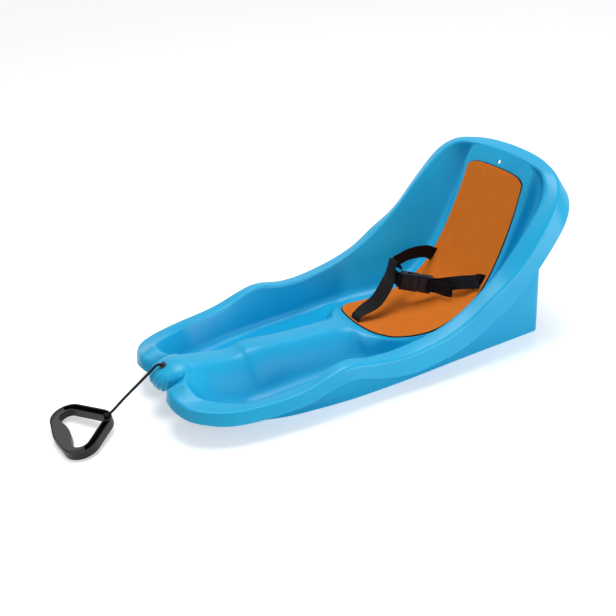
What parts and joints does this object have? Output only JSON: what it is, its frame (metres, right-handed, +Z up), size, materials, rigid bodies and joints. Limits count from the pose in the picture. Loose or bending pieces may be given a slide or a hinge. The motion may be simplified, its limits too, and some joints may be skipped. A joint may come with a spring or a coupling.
{
  "type": "baby pull sled",
  "caption": "Moulded pull sled for a small child, with a bucket seat, foam pad, buckled three-strap harness and a sprung pull cord with a rounded-triangle handle.",
  "frame": {"origin": "on the floor, under the middle of the sled's own bounding box, without the free cord and its handle", "axes": "+X to the sled's left side, -Y towards the nose, +Z up"},
  "size_m": [0.3904, 0.9236, 0.2956],
  "materials": {
    "hull": "smooth moulded plastic",
    "pad": "matte foam with a fine texture",
    "webbing": "woven webbing",
    "fitting": "satin black plastic",
    "reel": "matte dark plastic",
    "steel": "plain steel",
    "cord": "braided cord"
  },
  "bodies": {
    "sled": {"sled_shell": "hull", "seat_pad": "pad", "right_belt": "webbing", "left_belt": "webbing", "crotch_strap": "webbing", "right_stopper": "fitting", "left_stopper": "fitting", "crotch_stopper": "fitting", "buckle_socket": "fitting", "reel_housing": "reel", "reel_cover": "reel", "recoil_spring": "steel", "reel_axle": "steel", "cover_screw_1": "steel", "cover_screw_2": "steel", "cover_screw_3": "steel", "mount_screw_right": "steel", "mount_screw_left": "steel", "cord_eyelet": "fitting", "reel_cord": "cord", "pull_cord": "cord"},
    "buckle_plug": {"buckle_plug": "fitting"},
    "upper_arm": {"buckle_upper_arm": "fitting"},
    "lower_arm": {"buckle_lower_arm": "fitting"},
    "drum": {"cord_drum": "reel", "drum_winding": "cord"},
    "handle": {"pull_handle": "fitting", "handle_knot": "cord"}
  },
  "joints": [
    {"name": "handle_pull", "type": "slide", "parent": "sled", "child": "handle", "axis": [0, -1, 0], "range_m": [0, 1], "stiffness_N_per_m": 2, "springref_m": -1, "deforming": ["pull_cord"]},
    {"name": "drum_spin", "type": "hinge", "parent": "sled", "child": "drum", "pos_m": [0, -0.30346, 0.046], "axis": [1, 0, 0], "range_deg": [0, 2800]},
    {"name": "buckle_release", "type": "slide", "parent": "sled", "child": "buckle_plug", "axis": [0.5806, 0.7931, -0.1841], "range_m": [0, 0.022], "deforming": ["left_belt", "buckle_upper_arm", "buckle_lower_arm"]},
    {"name": "upper_arm_press", "type": "hinge", "parent": "buckle_plug", "child": "upper_arm", "pos_m": [-0.00699, 0.15607, 0.0834], "axis": [0.8069, -0.5907, 0], "range_deg": [0, 6], "stiffness_Nm_per_rad": 0.15},
    {"name": "lower_arm_press", "type": "hinge", "parent": "buckle_plug", "child": "lower_arm", "pos_m": [-0.00921, 0.15304, 0.06335], "axis": [-0.8069, 0.5907, 0], "range_deg": [0, 6], "stiffness_Nm_per_rad": 0.15}
  ],
  "couplings": [
    {"joint": "drum_spin", "follows": "handle_pull", "rad_per_m": 48.781}
  ]
}
